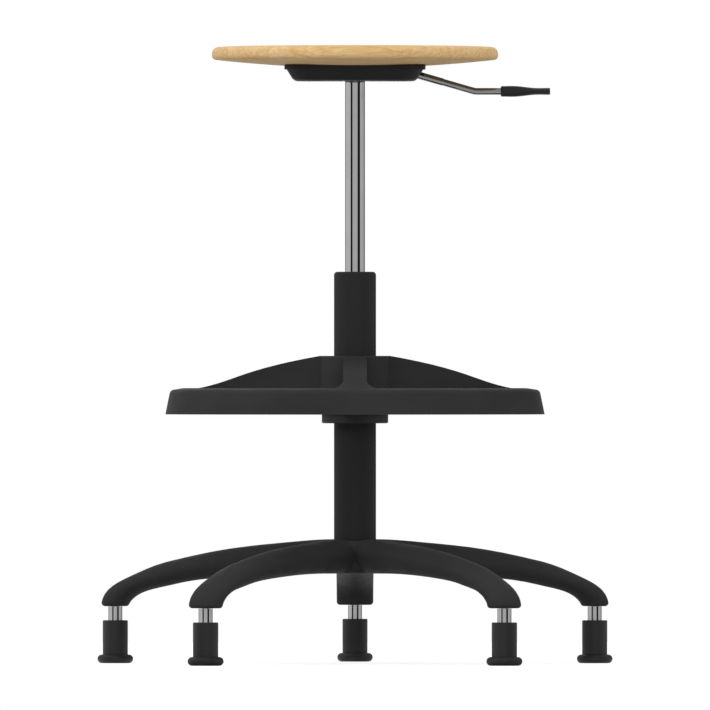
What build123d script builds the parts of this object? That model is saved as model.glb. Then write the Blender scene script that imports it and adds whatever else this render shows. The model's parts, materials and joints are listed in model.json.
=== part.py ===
from build123d import *
import os
from math import atan, atan2, cos, degrees, radians, sin, tan

# Swivel stool on a five-arm base. Millimetres, +Z up, floor at z = 0 under the column's axis.
# The front is -Y and the lever points to +X.

# Fits, gaps and small edges
running_clearance = 0.08
fixed_clearance = 0.05
moving_gap = 0.3
edge_chamfer = 0.8

# Glides
glide_foot_diameter = 42.6
glide_foot_height = 10.4
glide_body_diameter = 30.0
glide_height = 51.1
stem_collar_diameter = 16.8
stem_collar_length = 16.4
stem_pin_diameter = 11.0
stem_pin_length = 22.0
stem_tail_diameter = 10.0
stem_tail_length = 30.0
grip_ring_width = 3.0
grip_ring_depth = 0.8
grip_ring_below_tip = 4.0

# Star base
arm_count = 5
arm_reach = 300.0
arm_width = 46.0
arm_neck_depth = 23.9
arm_boss_width = 43.8
arm_boss_length = 32.4
arm_boss_edge = 4.0
arm_drop = 39.8
arm_bend = 2.08
arm_taper = 1.4
arm_start_turn = 3.5
arm_neck_turn = 66.0
arm_steps = 8
hub_height = 40.6
hub_diameter = 78.0
hub_edge_radius = 9.0
hub_crown_drop = 1.8

# Column
column_diameter = 50.0
column_wall = 2.0
column_exposed_length = 317.5
column_taper_drop = 0.7
column_end_recess = 1.4
column_shoulder_radius = 4.0
column_mouth_diameter = 34.0
column_foot_lip_diameter = 30.0
bush_length = 95.0

# Gas spring
cylinder_diameter = 23.8
cylinder_wall = 1.5
cylinder_exposed_length = 226.5
cylinder_engagement = 98.0
cylinder_taper_angle = 1.5
cylinder_cap_thickness = 3.0
cylinder_above_socket = 0.5
rod_diameter = 10.0
rod_stub_diameter = 8.0
piston_length = 18.0
piston_tenon_diameter = 6.0
end_guide_length = 25.0
valve_body_length = 48.0
button_diameter = 7.6
button_height = 6.0
button_dome_radius = 10.0
button_tail_length = 20.0
bump_stop_diameter = 22.0
bump_stop_length = 14.0

# Thrust bearing at the foot of the column
bottom_plate_thickness = 3.0
bearing_washer_thickness = 2.0
bearing_ball_diameter = 5.0
bearing_ball_count = 9
bearing_circle_diameter = 31.0
bearing_washer_diameter = 42.0
bearing_cage_thickness = 2.2
bearing_cage_rim = 3.2
clip_thickness = 1.2
clip_diameter = 14.0
clip_groove_diameter = 6.0
clip_mouth_angle = 70.0

# Foot ring
footrest_above_hub = 148.1
ring_tread_outer_diameter = 408.0
ring_edge_reach = 21.3
ring_height = 31.2
ring_inner_diameter = 320.0
ring_outer_draft = 11.5
ring_inner_draft = 3.0
ring_edge_drop = 2.4
ring_edge_radius = 6.0
ring_wall = 3.6
ring_rib_count = 12
ring_rib_thickness = 2.6
ring_rib_inset = 5.0
spoke_count = 3
spoke_width = 28.0
spoke_flare_start = 168.0
spoke_flare_width = 54.0
spoke_tip_sink = 0.6
ring_hub_height = 69.5
ring_hub_diameter = 80.0
ring_hub_draft = 2.0
ring_hub_edge = 2.0
ring_hub_wall = 4.5

# Collet that carries the foot ring
collet_flange_diameter = 78.9
collet_flange_height = 10.3
collet_root_diameter = 62.0
collet_tip_diameter = 57.0
collet_below_top = 1.8
collet_slot_count = 4
collet_slot_width = 2.5
collet_slot_foot = 16.0
collet_edge = 1.2

# Seat plate
plate_depth = 18.1
plate_floor_width = 145.2
plate_mouth_width = 162.2
plate_flange_width = 167.4
plate_flange_thickness = 4.2
plate_corner_radius = 22.0
plate_sheet = 2.5
plate_bend_radius = 9.0
pad_spacing = 100.0
pad_root_diameter = 34.0
pad_top_diameter = 24.0
socket_diameter = 34.0
socket_flange_diameter = 50.0
socket_flange_thickness = 3.0
socket_height = 17.8

# Seat board
seat_diameter = 340.0
seat_thickness = 23.4
seat_dish_depth = 3.0
seat_crest_diameter = 250.0
seat_shoulder_drop = 1.0
seat_rim_round_width = 8.5
seat_rim_round_height = 9.6
seat_heel_width = 5.2
seat_rim_rise = 6.8
seat_land_diameter = 168.0
seat_underside_bow = 0.5
pocket_depth = 12.4
pocket_width = 27.0
pocket_back = 17.0
pocket_end_gap = 15.0
insert_diameter = 10.0
insert_length = 12.0
screw_diameter = 6.0
screw_head_diameter = 12.0
screw_head_height = 4.0
screw_length = 14.0
screw_drive_width = 4.0

# Release lever
lever_diameter = 8.0
lever_shank_diameter = 8.8
lever_shank_end = 104.4
lever_bend_reach = 142.5
lever_bend_radius = 14.0
lever_drop = 12.3
lever_knee_reach = 7.0
lever_tongue_thickness = 4.1
lever_tongue_width = 12.0
lever_tongue_past_axis = 9.0
lever_flat_start = 29.0
lever_flat_end = 21.0
lever_pivot_reach = 50.0
lever_pin_diameter = 4.0
lever_slot_room = 2.4
lever_lift = 2.2
bracket_sheet = 2.5
bracket_length = 18.0
bracket_side_gap = 0.5
bracket_eye_radius = 3.6
grip_start = 173.0
grip_length = 58.7
grip_diameter = 12.9
grip_neck_edge = 2.0
grip_round_length = 13.5
grip_slope_middle = 27.0
grip_slope_width = 15.0
grip_slope_thickness = 11.0
grip_flat_from = 38.5
grip_flat_thickness = 8.5
grip_end_width = 17.0
grip_end_thickness = 8.0
grip_bore_depth = 24.0

# Heights that follow from the sizes above
boss_z = glide_height + stem_collar_length + moving_gap
hub_bottom_z = boss_z + arm_drop
hub_top_z = hub_bottom_z + hub_height
column_bottom_z = hub_bottom_z + column_end_recess
column_top_z = hub_top_z + column_exposed_length
plate_bottom_z = column_top_z + cylinder_exposed_length
flange_top_z = plate_bottom_z + plate_depth
seat_top_z = flange_top_z + seat_thickness
socket_top_z = plate_bottom_z + socket_height
cylinder_top_z = socket_top_z + cylinder_above_socket
cylinder_bottom_z = column_top_z - cylinder_engagement
end_guide_top_z = cylinder_bottom_z + end_guide_length
piston_z = end_guide_top_z + moving_gap
button_top_z = cylinder_top_z + button_height
bottom_plate_z = column_bottom_z + column_wall
lower_washer_z = bottom_plate_z + bottom_plate_thickness
ball_z = lower_washer_z + bearing_washer_thickness + bearing_ball_diameter / 2
upper_washer_z = ball_z + bearing_ball_diameter / 2
rod_shoulder_z = upper_washer_z + bearing_washer_thickness
ring_bottom_z = hub_top_z + footrest_above_hub
ring_top_z = ring_bottom_z + ring_height
ring_hub_top_z = ring_bottom_z + ring_hub_height
collet_top_z = ring_hub_top_z - collet_below_top
tongue_z = button_top_z + moving_gap + lever_tongue_thickness / 2
lever_bend_z = plate_bottom_z - lever_drop

# Radii used in more than one piece
column_bore_radius = column_diameter / 2 - column_wall
cylinder_radius = cylinder_diameter / 2
cylinder_bore_radius = cylinder_radius - cylinder_wall
socket_pin_radius = stem_pin_diameter / 2 + running_clearance
ring_diameter = ring_tread_outer_diameter + 2 * ring_edge_reach
arm_angles = [90.0 + 360.0 / arm_count * index for index in range(arm_count)]
spoke_angles = [-90.0 + 360.0 / spoke_count * index for index in range(spoke_count)]
pad_places = [(sx * pad_spacing / 2, sy * pad_spacing / 2) for sx in (-1, 1) for sy in (-1, 1)]
lever_slope = atan2(tongue_z - lever_bend_z, lever_bend_reach - lever_knee_reach)


def rz(radius, height):
    """A point of a turned outline, or of an outline in the XZ plane."""
    return (radius, 0, height)


def turned(edges):
    """Turn a closed outline in the XZ plane about the column's axis."""
    return revolve(make_face(edges), Axis.Z)


def turned_points(*points):
    """Turn a straight-sided outline of (radius, height) points."""
    return turned(Polyline(*[rz(*point) for point in points], close=True))


def sleeve(outer_radius, inner_radius, low_z, high_z):
    """A plain ring between two heights."""
    return turned_points(
        (inner_radius, low_z), (outer_radius, low_z), (outer_radius, high_z), (inner_radius, high_z)
    )


def upright(radius, low_z, high_z, x=0.0, y=0.0):
    """A plain round bar along Z."""
    bar = Cylinder(radius, high_z - low_z, align=(Align.CENTER, Align.CENTER, Align.MIN))
    return Pos(x, y, low_z) * bar


def around(piece, angle):
    """Turn a piece about the column's axis."""
    return Rot(0, 0, angle) * piece


# Glides


def glide_body():
    """Moulded glide with a wide rounded foot and a blind hole for the stem."""
    body_r = glide_body_diameter / 2
    rim_r = glide_foot_diameter / 2
    half = glide_foot_height / 2
    hole_r = stem_tail_diameter / 2 + fixed_clearance
    hole_z = glide_height - stem_tail_length - moving_gap
    foot = ThreePointArc(rz(rim_r - half, 0), rz(rim_r, half), rz(rim_r - half, glide_foot_height))
    wall = Polyline(
        foot @ 1,
        rz(body_r, glide_foot_height),
        rz(body_r, glide_height - edge_chamfer),
        rz(body_r - edge_chamfer, glide_height),
        rz(hole_r, glide_height),
        rz(hole_r, hole_z),
        rz(0, hole_z),
        rz(0, 0),
        foot @ 0,
    )
    return turned([foot, wall])


def glide_stem():
    """Stepped steel stem: tail in the glide, bright collar, pin in the arm's socket."""
    tail_r = stem_tail_diameter / 2
    pin_r = stem_pin_diameter / 2
    collar_top = glide_height + stem_collar_length
    tip = collar_top + stem_pin_length
    groove_top = tip - grip_ring_below_tip
    groove_r = pin_r - grip_ring_depth
    groove_bottom = groove_top - grip_ring_width
    return turned_points(
        (0, glide_height - stem_tail_length),
        (tail_r, glide_height - stem_tail_length),
        (tail_r, glide_height),
        (stem_collar_diameter / 2, glide_height),
        (stem_collar_diameter / 2, collar_top),
        (pin_r, collar_top),
        (pin_r, groove_bottom),
        (groove_r, groove_bottom),
        (groove_r, groove_top),
        (pin_r, groove_top),
        (pin_r, tip - edge_chamfer),
        (pin_r - edge_chamfer, tip),
        (0, tip),
    )


def glide_grip_ring():
    """Open spring ring in the groove of the stem."""
    top = glide_height + stem_collar_length + stem_pin_length - grip_ring_below_tip - fixed_clearance
    bottom = top - grip_ring_width + 2 * fixed_clearance
    outer_r = stem_pin_diameter / 2
    ring = sleeve(outer_r, outer_r - grip_ring_depth + fixed_clearance, bottom, top)
    mouth = Pos(outer_r, 0, (top + bottom) / 2) * Box(outer_r, grip_ring_width, 2 * grip_ring_width)
    return ring - mouth


def at_arm(piece, index):
    """Move a piece from the column's axis to the socket of one arm."""
    return around(Pos(arm_reach, 0, 0) * piece, arm_angles[index])


# Star base


def across(profile, half_width):
    """Thicken a profile in the XZ plane to both sides of it."""
    return extrude(Pos(0, -half_width, 0) * profile, amount=2 * half_width, dir=(0, 1, 0))


def arm_point(turn):
    """Point of an arm's middle line, a rounded quarter bow from level (0) to upright (90 degrees)."""
    power = 2 / arm_bend
    fall = arm_drop + hub_height / 2
    return rz(arm_reach * sin(radians(turn)) ** power, boss_z + fall * cos(radians(turn)) ** power)


def arm_depth(turn):
    """Depth of an arm, which thins from the hub to a neck and swells again into the boss."""
    if turn < arm_neck_turn:
        share = arm_point(turn)[0] / arm_point(arm_neck_turn)[0]
        return hub_height + (arm_neck_depth - hub_height) * share**arm_taper
    share = (turn - arm_neck_turn) / (90.0 - arm_neck_turn)
    return arm_neck_depth + (arm_boss_length - arm_neck_depth) * share**2 * (3 - 2 * share)


def arm():
    """One arm along +X: an oval bar that bends down into its boss."""
    step = (90.0 - arm_start_turn) / arm_steps
    turns = [arm_start_turn + step * index for index in range(arm_steps + 1)]
    path = Spline(*[arm_point(turn) for turn in turns], tangents=[rz(1, 0), rz(0, -1)])
    sections = []
    for turn in turns:
        share = path.param_at_point(arm_point(turn))
        width = arm_width + (arm_boss_width - arm_width) * share
        plane = Plane(origin=arm_point(turn), x_dir=(0, 1, 0), z_dir=path % share)
        sections.append(plane * Ellipse(width / 2, arm_depth(turn) / 2))
    bar = sweep(sections=sections, path=path, multisection=True)
    return fillet(bar.faces().sort_by(Axis.Z)[0].edges(), arm_boss_edge)


def column_radius_at(height):
    """Outer radius of the column's tapered foot."""
    share = (hub_top_z - height) / (hub_top_z - column_bottom_z)
    return column_diameter / 2 - column_taper_drop * share


def hub_core():
    """Round middle of the base, which the arms run into."""
    crown_z = hub_top_z - hub_crown_drop
    outline = FilletPolyline(
        rz(0, hub_bottom_z),
        rz(hub_diameter / 2, hub_bottom_z),
        rz(hub_diameter / 2, crown_z),
        rz(0, crown_z),
        radius=[0, hub_edge_radius, hub_edge_radius, 0],
        close=True,
    )
    return turned(outline)


def arm_sector():
    """One arm with its slice of the hub, cut where it meets its neighbours."""
    length = 2 * arm_reach
    spread = length * tan(radians(180.0 / arm_count))
    slice_plan = make_face(Polyline((0, 0), (length, -spread), (length, spread), close=True))
    return (arm() + hub_core()) & extrude(slice_plan, amount=2 * hub_top_z)


def star_base():
    """Five-arm moulding with a tapered hub bore and a socket in each arm's boss."""
    sector = arm_sector()
    star = around(sector, arm_angles[0]) + [around(sector, angle) for angle in arm_angles[1:]]
    reach = hub_height
    bore = turned_points(
        (0, hub_bottom_z - reach),
        (column_radius_at(hub_bottom_z - reach), hub_bottom_z - reach),
        (column_radius_at(hub_top_z + reach), hub_top_z + reach),
        (0, hub_top_z + reach),
    )
    socket_depth = stem_pin_length + moving_gap
    socket = upright(socket_pin_radius, boss_z - socket_depth, boss_z + socket_depth)
    return star - bore - [at_arm(socket, index) for index in range(arm_count)]


# Column and thrust bearing


def column_tube():
    """Stand tube: rolled-in mouth, straight run and a tapered foot with an inner lip."""
    outer_r = column_diameter / 2
    mouth_r = column_mouth_diameter / 2
    lip_r = column_foot_lip_diameter / 2
    round_r = column_shoulder_radius
    foot_r = column_radius_at(column_bottom_z)
    corner = round_r * (1 - cos(radians(45)))
    shoulder = ThreePointArc(
        rz(outer_r, column_top_z - round_r),
        rz(outer_r - corner, column_top_z - corner),
        rz(outer_r - round_r, column_top_z),
    )
    wall = Polyline(
        shoulder @ 1,
        rz(mouth_r, column_top_z),
        rz(mouth_r, column_top_z - column_wall),
        rz(outer_r - round_r, column_top_z - column_wall),
        rz(column_bore_radius, column_top_z - round_r),
        rz(column_bore_radius, hub_top_z),
        rz(foot_r - column_wall, bottom_plate_z),
        rz(lip_r, bottom_plate_z),
        rz(lip_r, column_bottom_z),
        rz(foot_r, column_bottom_z),
        rz(outer_r, hub_top_z),
        shoulder @ 0,
    )
    return turned([shoulder, wall])


def guide_bush():
    """Plastic bush in the column's mouth, with a collar that stands in the opening."""
    outer_r = column_bore_radius - fixed_clearance
    bore_r = cylinder_radius + running_clearance
    collar_r = column_mouth_diameter / 2 - fixed_clearance
    under_lip = column_top_z - column_wall - fixed_clearance
    low_z = column_top_z - bush_length
    slope_z = column_top_z - column_shoulder_radius - fixed_clearance
    waist_r = (outer_r + bore_r) / 2
    return turned_points(
        (bore_r, low_z),
        (outer_r, low_z),
        (outer_r, low_z + bush_length / 5),
        (waist_r, low_z + bush_length / 4),
        (waist_r, column_top_z - bush_length / 4),
        (outer_r, column_top_z - bush_length / 5),
        (outer_r, slope_z),
        (column_diameter / 2 - column_shoulder_radius - fixed_clearance, under_lip),
        (collar_r, under_lip),
        (collar_r, column_top_z),
        (bore_r, column_top_z),
    )


def column_bottom_plate():
    """Thick washer on the column's foot lip, which carries the bearing."""
    foot_r = column_radius_at(column_bottom_z) - column_wall - fixed_clearance
    hole_r = rod_stub_diameter / 2 + running_clearance
    return sleeve(foot_r, hole_r, bottom_plate_z, lower_washer_z)


def bearing_washer(low_z, hole_r):
    """Hardened washer of the thrust bearing."""
    return sleeve(bearing_washer_diameter / 2, hole_r, low_z, low_z + bearing_washer_thickness)


def ball_places():
    """Centres of the bearing balls."""
    radius = bearing_circle_diameter / 2
    steps = [radians(360.0 / bearing_ball_count * index) for index in range(bearing_ball_count)]
    return [(radius * cos(step), radius * sin(step)) for step in steps]


def bearing_balls():
    """Balls of the thrust bearing."""
    radius = bearing_ball_diameter / 2 - fixed_clearance
    return Compound([Pos(x, y, ball_z) * Sphere(radius) for x, y in ball_places()])


def bearing_cage():
    """Flat ring with a hole for each ball."""
    middle_r = bearing_circle_diameter / 2
    half_width = bearing_ball_diameter / 2 + bearing_cage_rim
    low_z = ball_z - bearing_cage_thickness / 2
    high_z = ball_z + bearing_cage_thickness / 2
    hole_r = bearing_ball_diameter / 2 + fixed_clearance
    ring = sleeve(middle_r + half_width, middle_r - half_width, low_z, high_z)
    return ring - [upright(hole_r, low_z, high_z, x, y) for x, y in ball_places()]


# Gas spring


def clip_top():
    """Height of the clip's upper face, just under the bottom plate."""
    return bottom_plate_z - moving_gap


def piston_rod():
    """Rod with a shoulder on the bearing, a clip groove below it and a tenon for the piston."""
    rod_r = rod_diameter / 2
    stub_r = rod_stub_diameter / 2
    groove_r = clip_groove_diameter / 2
    tenon_r = piston_tenon_diameter / 2
    groove_top = clip_top() + fixed_clearance
    groove_bottom = groove_top - clip_thickness - 2 * fixed_clearance
    foot_z = groove_bottom - clip_thickness
    return turned_points(
        (0, foot_z),
        (stub_r, foot_z),
        (stub_r, groove_bottom),
        (groove_r, groove_bottom),
        (groove_r, groove_top),
        (stub_r, groove_top),
        (stub_r, rod_shoulder_z),
        (rod_r, rod_shoulder_z),
        (rod_r, piston_z),
        (tenon_r, piston_z),
        (tenon_r, piston_z + piston_length),
        (0, piston_z + piston_length),
    )


def piston():
    """Piston with a seal groove, on the rod's tenon."""
    outer_r = cylinder_bore_radius - running_clearance
    inner_r = piston_tenon_diameter / 2 + fixed_clearance
    groove_r = (outer_r + inner_r) / 2
    third = piston_length / 3
    return turned_points(
        (inner_r, piston_z),
        (outer_r, piston_z),
        (outer_r, piston_z + third),
        (groove_r, piston_z + third),
        (groove_r, piston_z + 2 * third),
        (outer_r, piston_z + 2 * third),
        (outer_r, piston_z + piston_length),
        (inner_r, piston_z + piston_length),
    )


def retaining_clip():
    """Open clip in the rod's groove, under the bottom plate."""
    inner_r = clip_groove_diameter / 2 + fixed_clearance
    ring = sleeve(clip_diameter / 2, inner_r, clip_top() - clip_thickness, clip_top())
    spread = clip_diameter * tan(radians(clip_mouth_angle / 2))
    wedge = make_face(Polyline((0, 0), (clip_diameter, -spread), (clip_diameter, spread), close=True))
    mouth = Pos(0, 0, clip_top() - 2 * clip_thickness) * extrude(wedge, amount=3 * clip_thickness)
    return ring - mouth


def bump_stop():
    """Rubber buffer on the rod, above the bearing."""
    inner_r = rod_diameter / 2 + fixed_clearance
    outer_r = bump_stop_diameter / 2
    high_z = rod_shoulder_z + bump_stop_length
    waist = outer_r - (outer_r - inner_r) / 4
    return turned_points(
        (inner_r, rod_shoulder_z),
        (outer_r, rod_shoulder_z),
        (waist, (rod_shoulder_z + high_z) / 2),
        (outer_r, high_z),
        (inner_r, high_z),
    )


def taper_radius_at(height):
    """Outer radius of the cylinder's tapered head."""
    return cylinder_radius - (height - plate_bottom_z) * tan(radians(cylinder_taper_angle))


def gas_cylinder():
    """Pressure tube with a tapered head and a hole for the release button."""
    hole_r = button_diameter / 2 + running_clearance
    edge = cylinder_wall / 2
    cap_z = cylinder_top_z - cylinder_cap_thickness
    return turned_points(
        (cylinder_bore_radius, cylinder_bottom_z),
        (cylinder_radius - edge, cylinder_bottom_z),
        (cylinder_radius, cylinder_bottom_z + edge),
        (cylinder_radius, plate_bottom_z),
        (taper_radius_at(cylinder_top_z - edge), cylinder_top_z - edge),
        (taper_radius_at(cylinder_top_z) - edge, cylinder_top_z),
        (hole_r, cylinder_top_z),
        (hole_r, cap_z),
        (taper_radius_at(cap_z) - cylinder_wall, cap_z),
        (taper_radius_at(cap_z) - cylinder_wall, plate_bottom_z),
        (cylinder_bore_radius, plate_bottom_z - cylinder_wall),
    )


def cylinder_end_guide():
    """Rod guide with a seal groove, in the lower end of the cylinder."""
    outer_r = cylinder_bore_radius - fixed_clearance
    inner_r = rod_diameter / 2 + running_clearance
    groove_r = (outer_r + inner_r) / 2
    third = end_guide_length / 3
    return turned_points(
        (inner_r, cylinder_bottom_z),
        (outer_r, cylinder_bottom_z),
        (outer_r, cylinder_bottom_z + third),
        (groove_r, cylinder_bottom_z + third),
        (groove_r, cylinder_bottom_z + 2 * third),
        (outer_r, cylinder_bottom_z + 2 * third),
        (outer_r, end_guide_top_z),
        (inner_r, end_guide_top_z),
    )


def valve_body():
    """Valve block under the cylinder's cap, with the bore that the button runs in."""
    high_z = cylinder_top_z - cylinder_cap_thickness
    low_z = high_z - valve_body_length
    outer_r = taper_radius_at(high_z) - cylinder_wall - fixed_clearance
    bore_r = button_diameter / 2 + running_clearance
    bore_z = cylinder_top_z - button_tail_length - button_height
    return turned_points(
        (0, low_z),
        (outer_r, low_z),
        (outer_r, high_z),
        (bore_r, high_z),
        (bore_r, bore_z),
        (0, bore_z),
    )


def release_button():
    """Valve pin with a domed top."""
    radius = button_diameter / 2
    sag = button_dome_radius - (button_dome_radius**2 - radius**2) ** 0.5
    near = radius / 2
    near_sag = button_dome_radius - (button_dome_radius**2 - near**2) ** 0.5
    dome = ThreePointArc(
        rz(0, button_top_z), rz(near, button_top_z - near_sag), rz(radius, button_top_z - sag)
    )
    tail_z = cylinder_top_z - button_tail_length
    side = Polyline(dome @ 1, rz(radius, tail_z), rz(0, tail_z), dome @ 0)
    return turned([dome, side])


# Foot ring and its collet


def ring_side(height, lift):
    """Outer radius of the ring at a height above its bottom, with the wall taken off by lift."""
    return ring_diameter / 2 - height * tan(radians(ring_outer_draft)) - lift


def ring_outline(wall):
    """Turned outline of the ring's section; a wall above zero gives the hollow inside it."""
    inner_r = ring_inner_diameter / 2 + wall
    lean = ring_height * tan(radians(ring_inner_draft))
    top_z = ring_top_z - wall
    edge_z = top_z - ring_edge_drop
    low_z = ring_bottom_z - wall
    edge_r = ring_side(edge_z - ring_bottom_z, wall)
    tread_r = ring_tread_outer_diameter / 2
    outline = FilletPolyline(
        rz(inner_r - lean, low_z),
        rz(ring_side(-wall, wall), low_z),
        rz(edge_r, edge_z),
        rz(tread_r, top_z),
        rz(inner_r, top_z),
        radius=[0, 0, ring_edge_radius, ring_edge_radius, ring_wall - wall / 2],
        close=True,
    )
    return turned(outline)


# Top of a spoke between the hub's edge and its tip: share of the run and share of the height.
spoke_shares = [(0.27, 0.805), (0.57, 0.515), (0.77, 0.265), (0.92, 0.075)]


def spoke_end():
    """Distance from the axis at which a spoke's flared tip ends, just inside the tread's edge."""
    return ((ring_tread_outer_diameter / 2) ** 2 - (spoke_flare_width / 2) ** 2) ** 0.5


def spoke_arch(wall):
    """Side profile of a spoke along +X, from the hub's top down into the tread."""
    start_x = ring_hub_diameter / 2
    run = spoke_end() - start_x
    top_z = ring_hub_top_z - wall
    tread_z = ring_top_z - wall
    points = [rz(start_x + along * run, tread_z + high * (top_z - tread_z)) for along, high in spoke_shares]
    crown = Spline(rz(start_x, top_z), *points, rz(start_x + run, tread_z - spoke_tip_sink))
    low_z = ring_bottom_z - wall
    sides = Polyline(crown @ 1, rz(start_x + run, low_z), rz(0, low_z), rz(0, top_z), crown @ 0)
    return across(make_face([crown, sides]), spoke_flare_width)


def spoke_plan(half_width):
    """Plan of a spoke along +X, with sides that flare where it meets the tread."""
    flare = half_width + (spoke_flare_width - spoke_width) / 2
    left = TangentArc((spoke_flare_start, half_width), (spoke_end(), flare), tangent=(1, 0))
    right = TangentArc((spoke_flare_start, -half_width), (spoke_end(), -flare), tangent=(1, 0))
    return make_face(
        [
            Polyline((spoke_flare_start, half_width), (0, half_width), (0, -half_width), right @ 0),
            right,
            Line(right @ 1, left @ 1),
            left,
        ]
    )


def spoke(wall):
    """Spoke along +X; a wall above zero gives the hollow inside it."""
    height = ring_hub_height + 2 * wall
    plan = Pos(0, 0, ring_bottom_z - wall) * extrude(spoke_plan(spoke_width / 2 - wall), amount=height)
    return plan & spoke_arch(wall)


def collet_radius_at(height):
    """Outer radius of the collet's cone."""
    share = (height - ring_bottom_z) / (collet_top_z - ring_bottom_z)
    return (collet_root_diameter + (collet_tip_diameter - collet_root_diameter) * share) / 2


def ring_hub():
    """Outside of the ring's hub."""
    top_r = ring_hub_diameter / 2
    foot_r = top_r + ring_hub_height * tan(radians(ring_hub_draft))
    outline = FilletPolyline(
        rz(0, ring_bottom_z),
        rz(foot_r, ring_bottom_z),
        rz(top_r, ring_hub_top_z),
        rz(0, ring_hub_top_z),
        radius=[0, 0, ring_hub_edge, 0],
        close=True,
    )
    return turned(outline)


def ring_ribs():
    """Radial ribs across the ring's hollow, set in from its lower edge."""
    low_z = ring_bottom_z + ring_rib_inset
    tall = ring_height - ring_rib_inset
    inner_r = ring_inner_diameter / 2
    length = ring_diameter / 2 - inner_r
    rib = Pos(inner_r + length / 2, 0, low_z + tall / 2) * Box(length, ring_rib_thickness, tall)
    step = 360.0 / ring_rib_count
    return [around(rib, spoke_angles[0] + step * (index + 0.5)) for index in range(ring_rib_count)]


def footrest_ring():
    """Moulded foot ring: tread ring, three arched spokes and a hub, all hollow below."""
    rim = ring_outline(0.0)
    hollow = ring_outline(ring_wall)
    solid = rim + ring_hub() + [around(spoke(0.0), angle) for angle in spoke_angles]
    inner_r = collet_radius_at(ring_bottom_z) + moving_gap + ring_hub_wall
    boss = upright(inner_r, ring_bottom_z, ring_hub_top_z)
    spoke_hollow = [around(spoke(ring_wall), angle) - boss for angle in spoke_angles]
    body = solid - hollow - spoke_hollow
    body = body + [rib & hollow for rib in ring_ribs()]
    reach = ring_hub_height
    bore = turned_points(
        (0, ring_bottom_z - reach),
        (collet_radius_at(ring_bottom_z - reach) + moving_gap, ring_bottom_z - reach),
        (collet_radius_at(ring_hub_top_z + reach) + moving_gap, ring_hub_top_z + reach),
        (0, ring_hub_top_z + reach),
    )
    return body - bore


def clamp_collet():
    """Slotted cone round the column with a collar below the ring's hub."""
    bore_r = column_diameter / 2 + running_clearance
    flange_r = collet_flange_diameter / 2
    flange_top = ring_bottom_z - moving_gap
    flange_low = flange_top - collet_flange_height
    body = turned_points(
        (bore_r, flange_low),
        (flange_r - collet_edge, flange_low),
        (flange_r, flange_low + collet_edge),
        (flange_r, flange_top),
        (collet_radius_at(flange_top), flange_top),
        (collet_tip_diameter / 2, collet_top_z),
        (bore_r, collet_top_z),
    )
    slot_low = ring_bottom_z + collet_slot_foot
    slot_tall = collet_top_z - slot_low
    slot = Pos(collet_root_diameter / 4, 0, slot_low + slot_tall / 2) * Box(
        collet_root_diameter / 2, collet_slot_width, slot_tall
    )
    step = 360.0 / collet_slot_count
    return body - [around(slot, step * (index + 0.5)) for index in range(collet_slot_count)]


# Seat plate with its socket


def tray_half_width(height):
    """Half-width of the tray's outer wall at a height."""
    wall_top = flange_top_z - plate_flange_thickness
    share = (height - plate_bottom_z) / (wall_top - plate_bottom_z)
    return (plate_floor_width + (plate_mouth_width - plate_floor_width) * share) / 2


def tray_block(low_z, high_z, inset, bend):
    """Tapered block with rounded corners and a rounded floor edge."""
    low = 2 * (tray_half_width(low_z) - inset)
    high = 2 * (tray_half_width(high_z) - inset)
    corner = plate_corner_radius - inset
    block = loft(
        [
            Pos(0, 0, low_z) * RectangleRounded(low, low, corner),
            Pos(0, 0, high_z) * RectangleRounded(high, high, corner + (high - low) / 2),
        ],
        ruled=True,
    )
    return fillet(block.faces().sort_by(Axis.Z)[0].edges(), bend)


def pad_cone(inset, drop):
    """Cone of one screw pad, which rises from the tray's floor to the seat."""
    root_r = pad_root_diameter / 2 - inset
    top_r = pad_top_diameter / 2 - inset
    height = plate_depth
    cone = Cone(root_r, top_r, height, align=(Align.CENTER, Align.CENTER, Align.MIN))
    return Pos(0, 0, plate_bottom_z - drop) * cone


def lever_line_z(reach):
    """Height of the lever's sloping run at a distance from the column's axis."""
    return lever_bend_z + (lever_bend_reach - reach) * tan(lever_slope)


def lever_slot():
    """Slot in the tray's wall for the lever and its travel."""
    low_half = tray_half_width(plate_bottom_z)
    outer = plate_flange_width / 2
    shank = lever_shank_diameter / 2 / cos(lever_slope)
    low_z = max(lever_line_z(outer) - shank - moving_gap, plate_bottom_z + plate_sheet)
    high_z = lever_line_z(low_half - plate_sheet) + shank + lever_lift
    width = lever_shank_diameter + lever_slot_room
    length = outer - low_half + 2 * plate_bend_radius
    centre_x = outer - length / 2 + plate_bend_radius
    slot = Box(length, width, high_z - low_z)
    return Pos(centre_x, 0, (low_z + high_z) / 2) * fillet(slot.edges().filter_by(Axis.X), width / 4)


def seat_plate():
    """Pressed tray: floor, sloping walls, narrow flange and four raised screw pads."""
    wall_top = flange_top_z - plate_flange_thickness
    floor_top = plate_bottom_z + plate_sheet
    outer = tray_block(plate_bottom_z, wall_top, 0.0, plate_bend_radius)
    spread = (plate_flange_width - plate_floor_width) / 2
    flange_face = RectangleRounded(plate_flange_width, plate_flange_width, plate_corner_radius + spread)
    flange = Pos(0, 0, wall_top) * extrude(flange_face, amount=plate_flange_thickness)
    inner = tray_block(floor_top, flange_top_z, plate_sheet, plate_bend_radius - plate_sheet)
    tray = outer + flange - inner
    pads = [Pos(x, y, 0) * (pad_cone(0.0, 0.0) - pad_cone(plate_sheet, plate_sheet)) for x, y in pad_places]
    openings = [Pos(x, y, 0) * pad_cone(plate_sheet, plate_sheet) for x, y in pad_places]
    holes = [
        upright(screw_diameter / 2 + moving_gap, plate_bottom_z, flange_top_z, x, y) for x, y in pad_places
    ]
    middle = upright(socket_diameter / 2 + fixed_clearance, plate_bottom_z - plate_sheet, flange_top_z)
    return (tray - openings + pads) - holes - middle - lever_slot()


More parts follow.
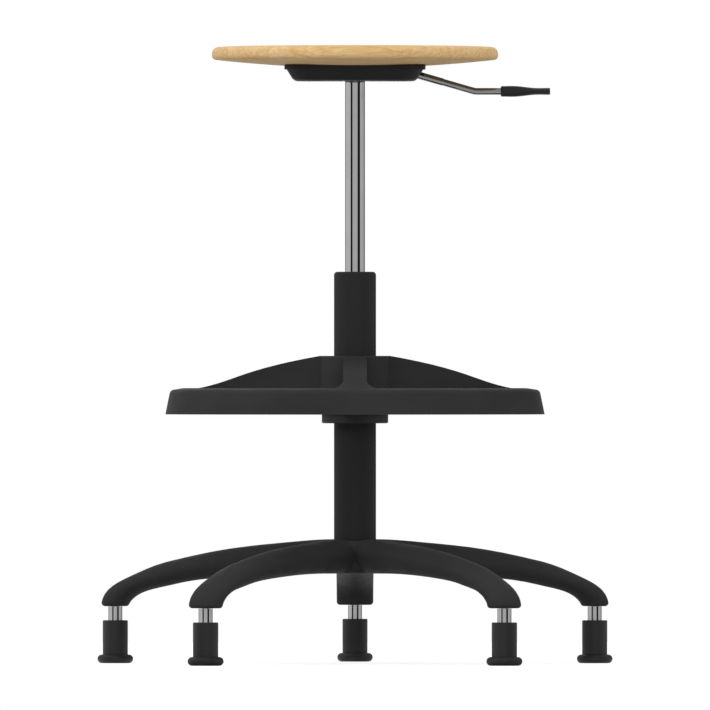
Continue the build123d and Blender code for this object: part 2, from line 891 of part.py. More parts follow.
def taper_socket():
    """Sleeve with a tapered bore, welded into the tray's floor."""
    outer_r = socket_diameter / 2
    floor_top = plate_bottom_z + plate_sheet
    flange_r = socket_flange_diameter / 2
    flange_top = floor_top + socket_flange_thickness
    return turned_points(
        (taper_radius_at(plate_bottom_z), plate_bottom_z),
        (outer_r, plate_bottom_z),
        (outer_r, floor_top),
        (flange_r, floor_top),
        (flange_r, flange_top),
        (outer_r, flange_top),
        (outer_r, socket_top_z),
        (taper_radius_at(socket_top_z), socket_top_z),
    )


# Seat board and its fasteners


def seat_outline():
    """Turned outline of the seat: shallow dish, rounded rim and a bowed underside."""
    crest_r = seat_crest_diameter / 2
    rim_r = seat_diameter / 2
    land_r = seat_land_diameter / 2
    shoulder_r = rim_r - seat_rim_round_width
    shoulder_z = seat_top_z - seat_shoulder_drop
    widest_z = shoulder_z - seat_rim_round_height
    heel_r = rim_r - seat_heel_width
    heel_z = flange_top_z + seat_rim_rise
    crest_slope = 2 * atan2(seat_shoulder_drop, shoulder_r - crest_r)
    chord = ((heel_r - land_r) ** 2 + seat_rim_rise**2) ** 0.5
    heel_slope = atan2(seat_rim_rise, heel_r - land_r) + 2 * atan(2 * seat_underside_bow / chord)
    middle = rz((heel_r + land_r) / 2, (heel_z + flange_top_z) / 2 - seat_underside_bow)
    level = rz(1, 0)
    down = rz(0, -1)
    return [
        Spline(rz(0, seat_top_z - seat_dish_depth), rz(crest_r, seat_top_z), tangents=[level, level]),
        TangentArc(rz(crest_r, seat_top_z), rz(shoulder_r, shoulder_z), tangent=level),
        Spline(
            rz(shoulder_r, shoulder_z),
            rz(rim_r, widest_z),
            tangents=[rz(cos(crest_slope), -sin(crest_slope)), down],
        ),
        Spline(
            rz(rim_r, widest_z),
            rz(heel_r, heel_z),
            tangents=[down, rz(-cos(heel_slope), -sin(heel_slope))],
        ),
        ThreePointArc(rz(heel_r, heel_z), middle, rz(land_r, flange_top_z)),
        Polyline(rz(land_r, flange_top_z), rz(0, flange_top_z), rz(0, seat_top_z - seat_dish_depth)),
    ]


def seat_board():
    """Solid wooden seat with a milled pocket for the lever and holes for the inserts."""
    front = lever_pivot_reach + pocket_end_gap
    slot = SlotOverall(front + pocket_back, pocket_width)
    pocket = Pos((front - pocket_back) / 2, 0, flange_top_z) * extrude(slot, amount=pocket_depth)
    hole_r = insert_diameter / 2 + fixed_clearance
    top_z = flange_top_z + insert_length + moving_gap
    holes = [upright(hole_r, flange_top_z, top_z, x, y) for x, y in pad_places]
    return turned(seat_outline()) - pocket - holes


def seat_inserts():
    """Threaded inserts in the seat's underside."""
    hole_r = screw_diameter / 2 + fixed_clearance
    insert = sleeve(insert_diameter / 2, hole_r, flange_top_z, flange_top_z + insert_length)
    return Compound([Pos(x, y, 0) * insert for x, y in pad_places])


def seat_screws():
    """Pan-head screws that hold the tray to the inserts."""
    under_pad = flange_top_z - plate_sheet
    head_low = under_pad - screw_head_height
    tip = under_pad + screw_length
    screw = turned_points(
        (0, head_low),
        (screw_head_diameter / 2 - edge_chamfer, head_low),
        (screw_head_diameter / 2, head_low + edge_chamfer),
        (screw_head_diameter / 2, under_pad),
        (screw_diameter / 2, under_pad),
        (screw_diameter / 2, tip),
        (0, tip),
    )
    drive = extrude(RegularPolygon(screw_drive_width / 2, 6), amount=screw_head_height / 2)
    screw = screw - Pos(0, 0, head_low) * drive
    return Compound([Pos(x, y, 0) * screw for x, y in pad_places])


# Release lever


def lever_point(reach):
    """Point of the lever's sloping run."""
    return Vector(reach, 0, lever_line_z(reach))


def lever_plane(reach):
    """Plane across the lever's sloping run, with its X across the lever."""
    along = (cos(lever_slope), 0, -sin(lever_slope))
    return Plane(origin=lever_point(reach), x_dir=(0, 1, 0), z_dir=along)


def along_lever(from_reach, to_reach):
    """Length of the sloping run between two distances from the axis."""
    return (to_reach - from_reach) / cos(lever_slope)


def release_lever():
    """Bent rod with a thicker shank, flattened into a tongue over the button."""
    shank_r = lever_shank_diameter / 2
    bend = Vector(lever_bend_reach, 0, lever_bend_z)
    end = Vector(grip_start + grip_bore_depth - moving_gap, 0, lever_bend_z)
    path = FilletPolyline(lever_point(lever_flat_start), bend, end, radius=lever_bend_radius)
    rod = sweep(lever_plane(lever_flat_start) * Circle(lever_diameter / 2), path=path)
    shank_length = along_lever(lever_flat_start, lever_shank_end)
    shank = extrude(lever_plane(lever_flat_start) * Circle(shank_r), amount=shank_length)
    round_face = RectangleRounded(2 * shank_r, 2 * shank_r, shank_r - fixed_clearance)
    flat_face = RectangleRounded(lever_tongue_width, lever_tongue_thickness, lever_tongue_thickness / 3)
    swage = loft([lever_plane(lever_flat_end) * flat_face, lever_plane(lever_flat_start) * round_face])
    run = along_lever(lever_knee_reach, lever_flat_end)
    strap = extrude(lever_plane(lever_knee_reach) * flat_face, amount=run)
    length = lever_knee_reach + lever_tongue_past_axis
    plan = RectangleRounded(length, lever_tongue_width, lever_tongue_width / 3)
    centre_x = (lever_knee_reach - lever_tongue_past_axis) / 2
    tongue = Pos(centre_x, 0, tongue_z - lever_tongue_thickness / 2) * extrude(
        plan, amount=lever_tongue_thickness
    )
    eye = Rot(90, 0, 0) * Cylinder(lever_pin_diameter / 2 + running_clearance, 2 * lever_shank_diameter)
    lever = rod + shank + swage + strap + tongue
    return lever - Pos(lever_point(lever_pivot_reach)) * eye


def bracket_inner_half():
    """Half the room between the bracket's ears."""
    return lever_shank_diameter / 2 + bracket_side_gap


def lever_bracket():
    """U-shaped bracket on the tray's floor, whose ears hold the pivot pin."""
    floor_top = plate_bottom_z + plate_sheet
    pivot = lever_point(lever_pivot_reach)
    inner = bracket_inner_half()
    ear_y = inner + bracket_sheet / 2
    width = 2 * (inner + bracket_sheet)
    base = Pos(pivot.X, 0, floor_top + bracket_sheet / 2) * Box(bracket_length, width, bracket_sheet)
    eye = Rot(90, 0, 0) * Cylinder(bracket_eye_radius, bracket_sheet)
    half = bracket_length / 2
    ear_face = make_face(
        Polyline(
            rz(pivot.X - half, floor_top),
            rz(pivot.X + half, floor_top),
            rz(pivot.X + bracket_eye_radius, pivot.Z),
            rz(pivot.X - bracket_eye_radius, pivot.Z),
            close=True,
        )
    )
    ear = across(ear_face, bracket_sheet / 2) + Pos(pivot) * eye
    hole = Pos(pivot) * Rot(90, 0, 0) * Cylinder(lever_pin_diameter / 2 + fixed_clearance, 2 * width)
    return base + Pos(0, ear_y, 0) * ear + Pos(0, -ear_y, 0) * ear - hole


def lever_pivot_pin():
    """Pin through the bracket's ears and the lever's shank."""
    length = 2 * (bracket_inner_half() + bracket_sheet + edge_chamfer)
    pin = Rot(90, 0, 0) * Cylinder(lever_pin_diameter / 2, length)
    return Pos(lever_point(lever_pivot_reach)) * pin


def grip_section(along, width, thickness):
    """Oval section of the grip at a distance from its neck."""
    plane = Plane(origin=(grip_start + along, 0, lever_bend_z), x_dir=(0, 1, 0), z_dir=(1, 0, 0))
    return plane * Ellipse(width / 2, thickness / 2)


def lever_grip():
    """Moulded grip: round near the rod, flatter and wider towards its blunt end."""
    body = loft(
        [
            grip_section(0, grip_diameter, grip_diameter),
            grip_section(grip_round_length, grip_diameter, grip_diameter),
            grip_section(grip_slope_middle, grip_slope_width, grip_slope_thickness),
            grip_section(grip_flat_from, grip_end_width, grip_flat_thickness),
            grip_section((grip_flat_from + grip_length) / 2, grip_end_width, grip_end_thickness),
            grip_section(grip_length, grip_end_width, grip_end_thickness),
        ]
    )
    body = fillet(body.faces().sort_by(Axis.X)[0].edges(), grip_neck_edge)
    plane = Plane(origin=(grip_start, 0, lever_bend_z), z_dir=(1, 0, 0))
    bore = extrude(plane * Circle(lever_diameter / 2 + fixed_clearance), amount=grip_bore_depth)
    return body - bore


pieces = {
    "star_base": star_base(),
    "column_tube": column_tube(),
    "guide_bush": guide_bush(),
    "column_bottom_plate": column_bottom_plate(),
    "bearing_lower_washer": bearing_washer(lower_washer_z, rod_stub_diameter / 2 + moving_gap),
    "bearing_upper_washer": bearing_washer(upper_washer_z, rod_stub_diameter / 2 + fixed_clearance),
    "bearing_cage": bearing_cage(),
    "bearing_balls": bearing_balls(),
    "piston_rod": piston_rod(),
    "piston": piston(),
    "retaining_clip": retaining_clip(),
    "bump_stop": bump_stop(),
    "gas_cylinder": gas_cylinder(),
    "cylinder_end_guide": cylinder_end_guide(),
    "valve_body": valve_body(),
    "release_button": release_button(),
    "footrest_ring": footrest_ring(),
    "clamp_collet": clamp_collet(),
    "seat_plate": seat_plate(),
    "taper_socket": taper_socket(),
    "seat_board": seat_board(),
    "seat_inserts": seat_inserts(),
    "seat_screws": seat_screws(),
    "release_lever": release_lever(),
    "lever_bracket": lever_bracket(),
    "lever_pivot_pin": lever_pivot_pin(),
    "lever_grip": lever_grip(),
}
for index in range(arm_count):
    pieces[f"glide_body_{index + 1}"] = at_arm(glide_body(), index)
    pieces[f"glide_stem_{index + 1}"] = at_arm(glide_stem(), index)
    pieces[f"glide_grip_ring_{index + 1}"] = at_arm(glide_grip_ring(), index)

os.makedirs("parts", exist_ok=True)
for name, piece in pieces.items():
    export_step(piece, f"parts/{name}.step")
print(f"seat height {seat_top_z:.1f}, lever slope {degrees(lever_slope):.2f} degrees")
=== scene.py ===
import json
from math import radians

import bpy
from mathutils import Matrix, Vector
from mathutils.bvhtree import BVHTree

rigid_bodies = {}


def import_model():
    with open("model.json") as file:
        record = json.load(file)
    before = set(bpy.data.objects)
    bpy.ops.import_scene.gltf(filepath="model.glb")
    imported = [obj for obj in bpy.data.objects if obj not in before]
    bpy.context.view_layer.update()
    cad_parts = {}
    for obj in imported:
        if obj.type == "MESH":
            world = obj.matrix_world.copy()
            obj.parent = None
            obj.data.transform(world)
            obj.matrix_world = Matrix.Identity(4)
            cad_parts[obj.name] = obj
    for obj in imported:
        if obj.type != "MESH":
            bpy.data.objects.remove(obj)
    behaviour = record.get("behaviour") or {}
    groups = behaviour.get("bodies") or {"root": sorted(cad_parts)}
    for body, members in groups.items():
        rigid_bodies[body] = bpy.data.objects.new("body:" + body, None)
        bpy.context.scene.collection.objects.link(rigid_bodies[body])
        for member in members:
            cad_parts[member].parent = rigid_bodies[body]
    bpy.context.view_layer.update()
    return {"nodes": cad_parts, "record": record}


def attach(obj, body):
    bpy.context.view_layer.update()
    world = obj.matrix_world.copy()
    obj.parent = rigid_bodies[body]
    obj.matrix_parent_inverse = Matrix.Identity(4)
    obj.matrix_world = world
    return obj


# Looks of the swivel stool: materials for every CAD node, a white studio and the photograph's camera.
# Metres, +Z up, floor at z = 0. The front is -Y and the lever points to +X.

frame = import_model()
scene = bpy.context.scene
scene.view_settings.view_transform = "Standard"

# Camera: level, straight from the front and from so far away that it hardly converges
photo_width = 0.8432
photo_centre_z = 0.3668
lens_mm = 1690.0
sensor_mm = 36.0
clip_factor = 4

# Lamps: strength, the way they shine and how wide they are
key_strength = 1.25
key_direction = (0.82, 0.55, -1.0)
key_spread = radians(70.0)
fill_strength = 0.6
fill_direction = (-0.68, 0.68, -0.6)
fill_spread = radians(90.0)

# World and floor
ambient_level = 0.74
floor_half_width = 3.0
floor_white = 0.47
floor_glow = 0.655

# White screens all round, as gloss shows them: dimmer in front and on the right.
# Angles run from the front towards +X.
facing_level = 0.85
facing_end = radians(28.0)
facing_fade_end = radians(44.0)
right_level = 0.73
right_fade_start = radians(50.0)
right_fade_end = radians(110.0)

# Dark gaps between the screens: middle and half width in degrees
screen_gaps = [(-40.5, 11.4), (45.5, 15.8), (142.0, 11.0), (-146.0, 8.0)]
gap_level = 0.02
gap_edge = 0.15

# Surface sharpness of the CAD meshes
weld_distance = 1e-6
crease_angle = radians(32.0)


class Shader:
    """A node tree under construction: every call adds one node and returns an output of it."""

    def __init__(self, tree):
        self.tree = tree
        tree.nodes.clear()

    def add(self, kind, inputs=None, output=0, **settings):
        """Add a node, set its properties and link or set its inputs."""
        node = self.tree.nodes.new(kind)
        for key, value in settings.items():
            setattr(node, key, value)
        for key, value in (inputs or {}).items():
            self.feed(node.inputs[key], value)
        return node.outputs[output] if node.outputs else None

    def feed(self, socket, value):
        """Link an output to a socket, or set the socket's value."""
        if isinstance(value, bpy.types.NodeSocket):
            self.tree.links.new(value, socket)
        else:
            socket.default_value = value

    def split(self, kind, value):
        """Add a node that takes a point or a colour apart, and return all its outputs."""
        node = self.tree.nodes.new(kind)
        self.feed(node.inputs[0], value)
        return node.outputs

    def math(self, operation, first, second=0.0):
        """One arithmetic step."""
        return self.add("ShaderNodeMath", {0: first, 1: second}, operation=operation)

    def object_point(self):
        """Point on the surface in the part's own frame."""
        return self.add("ShaderNodeTexCoord", output="Object")

    def stretched(self, point, scale):
        """The point with each axis scaled."""
        return self.add("ShaderNodeMapping", {"Vector": point, "Scale": scale})

    def noise(self, point, scale=1.0, detail=2.0, roughness=0.5, distortion=0.0):
        """Noise between 0 and 1."""
        inputs = {
            "Vector": point,
            "Scale": scale,
            "Detail": detail,
            "Roughness": roughness,
            "Distortion": distortion,
        }
        return self.add("ShaderNodeTexNoise", inputs)

    def spread(self, value, low, high, to_low=0.0, to_high=1.0):
        """Map a range of values to another, clamped."""
        inputs = {0: value, 1: low, 2: high, 3: to_low, 4: to_high}
        return self.add("ShaderNodeMapRange", inputs, clamp=True)

    def blend(self, factor, first, second):
        """Mix two colours."""
        inputs = {"Factor": factor, 6: first, 7: second}
        return self.add("ShaderNodeMix", inputs, output=2, data_type="RGBA")

    def bump(self, height, strength, distance, normal=None):
        """A bumped normal."""
        inputs = {"Height": height, "Strength": strength, "Distance": distance}
        if normal is not None:
            inputs["Normal"] = normal
        return self.add("ShaderNodeBump", inputs)

    def surface(self, inputs):
        """Finish the tree with a principled surface."""
        shader = self.add("ShaderNodeBsdfPrincipled", inputs)
        self.add("ShaderNodeOutputMaterial", {"Surface": shader})


def rgba(red, green, blue):
    """A colour with full alpha."""
    return (red, green, blue, 1.0)


def grey(level):
    """A neutral colour."""
    return rgba(level, level, level)


def new_shader(name):
    """A new material and its empty node tree."""
    material = bpy.data.materials.new(name)
    material.use_nodes = True
    return material, Shader(material.node_tree)


# Black moulded plastic

flow_stretch = (1.0, 1.0, 2.5)
flow_scale = 9.0
moulded_sheen_scale = 35.0
moulded_sheen_swing = 0.06
grain_strength = 0.35


def moulded(name, dark, light, roughness, grain_scale, grain_height, specular):
    """Black moulded plastic: faint flow marks in the colour and a fine eroded grain."""
    material, s = new_shader(name)
    point = s.object_point()
    flow = s.noise(s.stretched(point, flow_stretch), flow_scale, detail=3.0)
    colour = s.blend(s.spread(flow, low=0.35, high=0.65), grey(dark), grey(light))
    grain = s.noise(point, grain_scale, detail=3.0, roughness=0.65)
    sheen = s.spread(
        s.noise(point, moulded_sheen_scale, detail=4.0),
        low=0.3,
        high=0.7,
        to_low=roughness - moulded_sheen_swing,
        to_high=roughness + moulded_sheen_swing,
    )
    s.surface(
        {
            "Base Color": colour,
            "Roughness": sheen,
            "Specular IOR Level": specular,
            "Normal": s.bump(grain, grain_strength, grain_height),
        }
    )
    return material


# Black powder coat

peel_scale = 620.0
peel_strength = 0.25
peel_depth = 0.0002
speckle_scale = 2600.0
speckle_strength = 0.12
speckle_depth = 0.00008
coat_sheen_scale = 24.0
coat_sheen_swing = 0.05


def powder_coat(name, dark, light, roughness, specular):
    """Black powder coat: soft orange peel over steel."""
    material, s = new_shader(name)
    point = s.object_point()
    peel = s.noise(point, peel_scale, detail=1.0)
    fine = s.noise(point, speckle_scale, detail=2.0)
    colour = s.blend(s.spread(fine, low=0.42, high=0.62), grey(dark), grey(light))
    sheen = s.spread(
        s.noise(point, coat_sheen_scale, detail=3.0),
        low=0.3,
        high=0.7,
        to_low=roughness - coat_sheen_swing,
        to_high=roughness + coat_sheen_swing,
    )
    peeled = s.bump(peel, peel_strength, peel_depth)
    s.surface(
        {
            "Base Color": colour,
            "Roughness": sheen,
            "Specular IOR Level": specular,
            "Normal": s.bump(fine, speckle_strength, speckle_depth, peeled),
        }
    )
    return material


# Plated and drawn metal

edge_tint = grey(0.75)
clouding_scale = 42.0
drawn_depth = 0.00003
gloss_swing = 0.3
lengthwise = (900.0, 900.0, 6.0)
along_lever = (6.0, 900.0, 900.0)


def plated(name, dark, light, roughness, lines, relief):
    """Plated or drawn metal: fine lines along the piece and a faint clouding of the colour."""
    material, s = new_shader(name)
    point = s.object_point()
    cloud = s.noise(point, clouding_scale, detail=3.0)
    colour = s.blend(s.spread(cloud, low=0.3, high=0.7), dark, light)
    drawn = s.noise(s.stretched(point, lines), detail=2.0)
    gloss = s.spread(
        drawn,
        low=0.25,
        high=0.75,
        to_low=roughness * (1 - gloss_swing),
        to_high=roughness * (1 + gloss_swing),
    )
    s.surface(
        {
            "Base Color": colour,
            "Metallic": 1.0,
            "Specular Tint": edge_tint,
            "Roughness": gloss,
            "Normal": s.bump(drawn, relief, drawn_depth),
        }
    )
    return material


# Rubber

bloom_scale = 60.0
rubber_dark = grey(0.012)
rubber_light = grey(0.024)
rubber_grain_scale = 1800.0
rubber_grain_depth = 0.0002


def rubber(name):
    """Dull black rubber."""
    material, s = new_shader(name)
    point = s.object_point()
    bloom = s.noise(point, bloom_scale, detail=4.0)
    colour = s.blend(s.spread(bloom, low=0.4, high=0.7), rubber_dark, rubber_light)
    grain = s.noise(point, rubber_grain_scale)
    s.surface(
        {
            "Base Color": colour,
            "Roughness": s.spread(bloom, low=0.3, high=0.7, to_low=0.7, to_high=0.85),
            "Normal": s.bump(grain, strength=0.3, distance=rubber_grain_depth),
        }
    )
    return material


# Oak. The staves lie along X, each cut from another place in the trunk.

stave_width = 0.057
stave_offset = 0.37
stave_shift_along = 3.0
stave_shift_across = 0.05
seam_start = 0.4955
seam_full = 0.4985

# Growth rings. The wave texture repeats over wave_length at scale 1.
ring_spacing = 0.0055
wave_length = 0.314
trunk_stretch = (0.11, 1.0, 1.0)
trunk_place = (0.0, 0.01, -0.66)
ring_sway = 16.0

# How fast each kind of mark changes along and across the grain, per metre
sway_grain = (2.2, 16.0, 16.0)
cloud_grain = (4.0, 26.0, 26.0)
figure_grain = (13.0, 230.0, 230.0)
fibre_grain = (11.0, 430.0, 430.0)
pore_grain = (55.0, 1500.0, 1500.0)

early_wood = rgba(0.78, 0.55, 0.285)
late_wood = rgba(0.59, 0.365, 0.14)
figure_colour = rgba(0.58, 0.345, 0.115)
cloud_colour = rgba(0.83, 0.63, 0.375)
fibre_colour = rgba(0.52, 0.30, 0.112)
pore_colour = rgba(0.27, 0.155, 0.065)
stave_colour = rgba(0.70, 0.41, 0.158)
seam_colour = rgba(0.22, 0.13, 0.06)

pore_relief = 0.8
oak_specular = 0.04
oak_bump = 0.09
oak_relief_depth = 0.00025


def oak(name):
    """Lacquered oak glued up from staves, with the grain along X."""
    material, s = new_shader(name)
    point = s.object_point()
    axes = s.split("ShaderNodeSeparateXYZ", point)
    off_axis = s.math("ADD", axes["Y"], stave_width * stave_offset)
    across = s.math("DIVIDE", off_axis, stave_width)
    stave = s.math("FLOOR", across)
    chance = s.add("ShaderNodeTexWhiteNoise", {"W": stave}, output="Color", noise_dimensions="1D")
    parts = s.split("ShaderNodeSeparateColor", chance)
    shift = s.add(
        "ShaderNodeCombineXYZ",
        {
            "X": s.math("MULTIPLY", parts["Red"], stave_shift_along),
            "Y": s.math("MULTIPLY", parts["Green"], stave_shift_across),
            "Z": s.math("MULTIPLY", parts["Blue"], stave_shift_across),
        },
    )
    wood = s.add("ShaderNodeVectorMath", {0: point, 1: shift}, operation="ADD")

    # Growth rings round a pith below the board, drawn out along the trunk
    trunk = s.add(
        "ShaderNodeVectorMath",
        {0: s.stretched(wood, trunk_stretch), 1: trunk_place},
        operation="ADD",
    )
    sway = s.noise(s.stretched(wood, sway_grain), detail=2.0)
    rings = s.add(
        "ShaderNodeTexWave",
        {
            "Vector": trunk,
            "Scale": wave_length / ring_spacing,
            "Distortion": 5.5,
            "Detail": 3.0,
            "Detail Scale": 0.35,
            "Detail Roughness": 0.6,
            "Phase Offset": s.math("MULTIPLY", sway, ring_sway),
        },
        output="Fac",
        wave_type="RINGS",
        rings_direction="X",
        wave_profile="SAW",
    )
    fibre = s.noise(s.stretched(wood, fibre_grain), detail=4.0, roughness=0.65)
    pores = s.noise(s.stretched(wood, pore_grain), detail=1.0)
    figure = s.noise(s.stretched(wood, figure_grain), detail=4.0, roughness=0.62, distortion=0.7)
    cloud = s.noise(s.stretched(wood, cloud_grain), detail=3.0)

    # Colour, from the pale early wood to the darker late wood
    colour = s.blend(s.spread(rings, low=0.1, high=1.0, to_high=0.35), early_wood, late_wood)
    colour = s.blend(s.spread(figure, low=0.40, high=0.66, to_high=0.75), colour, figure_colour)
    colour = s.blend(s.spread(cloud, low=0.35, high=0.65, to_high=0.65), colour, cloud_colour)
    colour = s.blend(s.spread(fibre, low=0.38, high=0.70, to_high=0.62), colour, fibre_colour)
    vessel = s.spread(pores, low=0.60, high=0.72)
    in_late_wood = s.spread(rings, low=0.3, high=1.0, to_low=0.1, to_high=0.75)
    pore_depth = s.math("MULTIPLY", vessel, in_late_wood)
    colour = s.blend(pore_depth, colour, pore_colour)
    tint = s.spread(parts["Red"], low=0.0, high=1.0, to_high=0.28)
    colour = s.blend(tint, colour, stave_colour)
    edge = s.math("ABSOLUTE", s.math("SUBTRACT", s.math("FRACT", across), 0.5))
    seam = s.spread(edge, seam_start, seam_full, to_high=0.4)
    colour = s.blend(seam, colour, seam_colour)

    relief = s.math("SUBTRACT", fibre, s.math("MULTIPLY", pore_depth, pore_relief))
    s.surface(
        {
            "Base Color": colour,
            "Roughness": s.spread(fibre, low=0.3, high=0.7, to_low=0.48, to_high=0.60),
            "Specular IOR Level": oak_specular,
            "Normal": s.bump(relief, oak_bump, oak_relief_depth),
        }
    )
    return material


# Materials, one for each slot of the part and one for the lever

materials = {
    "oak_wood": oak("oak_wood"),
    "black_moulding": moulded(
        "black_moulding",
        dark=0.029,
        light=0.0345,
        roughness=0.56,
        grain_scale=1500.0,
        grain_height=0.00025,
        specular=0.03,
    ),
    "collet_plastic": moulded(
        "collet_plastic",
        dark=0.029,
        light=0.034,
        roughness=0.42,
        grain_scale=1100.0,
        grain_height=0.00012,
        specular=0.1,
    ),
    "glide_plastic": moulded(
        "glide_plastic",
        dark=0.0145,
        light=0.018,
        roughness=0.46,
        grain_scale=1300.0,
        grain_height=0.00015,
        specular=0.24,
    ),
    "grip_plastic": moulded(
        "grip_plastic",
        dark=0.0175,
        light=0.0205,
        roughness=0.42,
        grain_scale=1300.0,
        grain_height=0.00006,
        specular=0.14,
    ),
    "bush_plastic": moulded(
        "bush_plastic",
        dark=0.012,
        light=0.016,
        roughness=0.38,
        grain_scale=900.0,
        grain_height=0.0001,
        specular=0.34,
    ),
    "column_coating": powder_coat(
        "column_coating", dark=0.0212, light=0.0272, roughness=0.52, specular=0.06
    ),
    "plate_coating": powder_coat(
        "plate_coating", dark=0.0235, light=0.029, roughness=0.52, specular=0.05
    ),
    "chrome": plated(
        "chrome",
        dark=grey(0.385),
        light=grey(0.425),
        roughness=0.03,
        lines=lengthwise,
        relief=0.0015,
    ),
    "bright_steel": plated(
        "bright_steel",
        dark=rgba(0.50, 0.50, 0.52),
        light=rgba(0.58, 0.58, 0.60),
        roughness=0.26,
        lines=lengthwise,
        relief=0.05,
    ),
    "insert_brass": plated(
        "insert_brass",
        dark=rgba(0.62, 0.43, 0.17),
        light=rgba(0.72, 0.52, 0.22),
        roughness=0.28,
        lines=lengthwise,
        relief=0.05,
    ),
    "buffer_rubber": rubber("buffer_rubber"),
}
# The lever's chrome is the same chrome with a darker colour: painted shade standing in for the darker
# surroundings that the lever mirrors.
lever_chrome_painted_shade = plated(
    "lever_chrome_painted_shade",
    dark=grey(0.20),
    light=grey(0.24),
    roughness=0.05,
    lines=along_lever,
    relief=0.0015,
)


def dress(node, material):
    """Give a CAD node its material and smooth shading with crisp creases."""
    mesh = node.data
    mesh.materials.clear()
    mesh.materials.append(material)
    mesh.shade_smooth()
    weld = node.modifiers.new("weld", "WELD")
    weld.merge_threshold = weld_distance
    crease = node.modifiers.new("crease", "EDGE_SPLIT")
    crease.split_angle = crease_angle


for subpart in frame["record"]["subparts"]:
    name = subpart["node"]
    material = lever_chrome_painted_shade if name == "release_lever" else materials[subpart["material_slot"]]
    dress(frame["nodes"][name], material)


# Skin over the tip of each glide's socket, which comes through the arm by a sliver.
# Heights are above the foot of the socket, and the turn is about its axis.

cap_low = 0.0215
cap_high = 0.0225
cap_half_turn = radians(44.0)
cap_columns = 16
cap_rows = 6
cap_bulge = 0.00009
cap_proud = 0.00002
cap_tuck = 0.00006
cap_thickness = 0.0003
search_reach = 0.03


def arm_skin(tree, middle, outward, height):
    """Distance from a socket's axis to the arm's skin, in one direction and at one height."""
    start = middle + outward * search_reach + Vector((0.0, 0.0, height))
    hit = tree.ray_cast(start, -outward)[0]
    if hit is None:
        return 0.0
    return search_reach - (hit - start).length


def cap_column(tree, middle, turn, at_end):
    """Outer points of a cap at one turn about the socket's axis, from low to high, and its direction."""
    away = Vector((middle.x, middle.y, 0.0)).normalized()
    outward = Matrix.Rotation(turn, 3, "Z") @ away
    low = arm_skin(tree, middle, outward, cap_low)
    high = arm_skin(tree, middle, outward, cap_high)
    rise = cap_high - cap_low
    points = []
    for row in range(cap_rows + 1):
        share = row / cap_rows
        arch = 4 * share * (1 - share)
        reach = low + (high - low) * share + cap_bulge * arch
        reach += -cap_tuck if at_end or row in (0, cap_rows) else cap_proud
        points.append(middle + outward * reach + Vector((0.0, 0.0, cap_low + rise * share)))
    return points, outward


def socket_cap(name, tree, middle, body):
    """Thin closed skin that follows the arm across the tip of one socket."""
    per_column = cap_rows + 1
    outer = []
    inner = []
    for column in range(cap_columns + 1):
        turn = cap_half_turn * (2 * column / cap_columns - 1)
        points, outward = cap_column(tree, middle, turn, column in (0, cap_columns))
        outer += points
        inner += [point - outward * cap_thickness for point in points]
    faces = []
    back = len(outer)
    for column in range(cap_columns):
        for row in range(cap_rows):
            first = column * per_column + row
            quad = (first, first + per_column, first + per_column + 1, first + 1)
            faces.append(quad)
            faces.append(tuple(back + corner for corner in reversed(quad)))
    rim = [column * per_column for column in range(cap_columns + 1)]
    rim += [cap_columns * per_column + row for row in range(1, per_column)]
    rim += [column * per_column + cap_rows for column in reversed(range(cap_columns))]
    rim += reversed(range(1, cap_rows))
    for first, second in zip(rim, rim[1:] + rim[:1]):
        faces.append((second, first, back + first, back + second))
    mesh = bpy.data.meshes.new(name)
    mesh.from_pydata(outer + inner, [], faces)
    mesh.materials.append(materials["black_moulding"])
    mesh.shade_smooth()
    cap = bpy.data.objects.new(name, mesh)
    scene.collection.objects.link(cap)
    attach(cap, body)


arms = BVHTree.FromObject(frame["nodes"]["star_base"], bpy.context.evaluated_depsgraph_get())
for joint in frame["record"]["behaviour"]["joints"]:
    if joint["name"].startswith("glide_"):
        number = joint["name"].split("_")[1]
        socket_cap(f"socket_cap_{number}", arms, Vector(joint["pos_m"]), joint["parent"])


# Studio


def ray_kinds(s):
    """Two factors: 1 for rays from the camera, gloss or glass, and 1 for rays from gloss alone."""
    path = s.tree.nodes.new("ShaderNodeLightPath").outputs
    mirror = s.math("MAXIMUM", path["Is Glossy Ray"], path["Is Transmission Ray"])
    return s.math("MAXIMUM", path["Is Camera Ray"], mirror), path["Is Glossy Ray"]


def screens(s, point, mirror):
    """Level of the white surroundings: 1 all round, and in gloss the screens with their gaps."""
    axes = s.split("ShaderNodeSeparateXYZ", point)
    front = s.math("MULTIPLY", axes["Y"], -1.0)
    azimuth = s.math("ARCTAN2", axes["X"], front)
    level = s.spread(azimuth, right_fade_start, right_fade_end, to_low=1.0, to_high=right_level)
    turned = s.math("ABSOLUTE", azimuth)
    facing = s.spread(turned, facing_end, facing_fade_end, to_low=facing_level)
    level = s.math("MULTIPLY", level, facing)
    for middle, half_width in screen_gaps:
        off = s.math("ABSOLUTE", s.math("SUBTRACT", azimuth, radians(middle)))
        inner = radians(half_width * (1 - gap_edge))
        outer = radians(half_width * (1 + gap_edge))
        level = s.math("MULTIPLY", level, s.spread(off, inner, outer, to_low=gap_level))
    return s.spread(mirror, low=0.0, high=1.0, to_low=1.0, to_high=level)


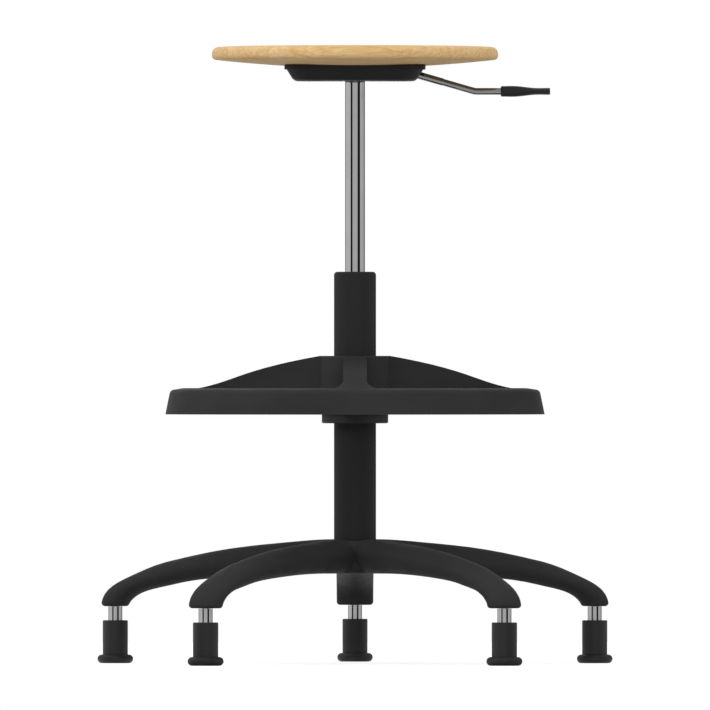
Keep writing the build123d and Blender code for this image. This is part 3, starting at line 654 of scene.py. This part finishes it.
def studio_world():
    """Soft light from all round, and white screens where the world is seen or mirrored."""
    world = bpy.data.worlds.new("studio")
    scene.world = world
    world.use_nodes = True
    s = Shader(world.node_tree)
    direct, mirror = ray_kinds(s)
    level = screens(s, s.add("ShaderNodeTexCoord", output="Generated"), mirror)
    soft = s.add("ShaderNodeBackground", {"Color": grey(1.0), "Strength": ambient_level})
    white = s.add("ShaderNodeBackground", {"Color": grey(1.0), "Strength": level})
    mixed = s.add("ShaderNodeMixShader", {0: direct, 1: soft, 2: white})
    s.add("ShaderNodeOutputWorld", {"Surface": mixed})


def studio_floor():
    """Pale floor that keeps the stool's shadow and looks white from every side."""
    corners = [(-1, -1), (1, -1), (1, 1), (-1, 1)]
    mesh = bpy.data.meshes.new("floor")
    points = [(x * floor_half_width, y * floor_half_width, 0.0) for x, y in corners]
    mesh.from_pydata(points, [], [(0, 1, 2, 3)])
    floor = bpy.data.objects.new("floor", mesh)
    scene.collection.objects.link(floor)
    material, s = new_shader("floor_white")
    direct, mirror = ray_kinds(s)
    level = screens(s, s.object_point(), mirror)
    plain = s.add("ShaderNodeBsdfDiffuse", {"Color": grey(floor_white)})
    lit = s.math("MULTIPLY", s.math("MULTIPLY", direct, level), floor_glow)
    glow = s.add("ShaderNodeEmission", {"Strength": lit})
    both = s.add("ShaderNodeAddShader", {0: plain, 1: glow})
    s.add("ShaderNodeOutputMaterial", {"Surface": both})
    mesh.materials.append(material)


def soft_sun(name, strength, towards, spread):
    """A broad soft light that shines along a direction and doesn't show in gloss."""
    data = bpy.data.lights.new(name, "SUN")
    data.energy = strength
    data.angle = spread
    lamp = bpy.data.objects.new(name, data)
    lamp.rotation_mode = "QUATERNION"
    lamp.rotation_quaternion = Vector(towards).to_track_quat("-Z", "Y")
    lamp.visible_glossy = False
    scene.collection.objects.link(lamp)


def photo_camera():
    """Level camera straight from the front."""
    data = bpy.data.cameras.new("camera")
    data.sensor_fit = "HORIZONTAL"
    data.sensor_width = sensor_mm
    data.lens = lens_mm
    distance = photo_width * lens_mm / sensor_mm
    data.clip_end = clip_factor * distance
    camera = bpy.data.objects.new("camera", data)
    camera.location = (0.0, -distance, photo_centre_z)
    camera.rotation_euler = (radians(90.0), 0.0, 0.0)
    scene.collection.objects.link(camera)
    scene.camera = camera


studio_world()
studio_floor()
soft_sun("key", key_strength, key_direction, key_spread)
soft_sun("fill", fill_strength, fill_direction, fill_spread)
photo_camera()
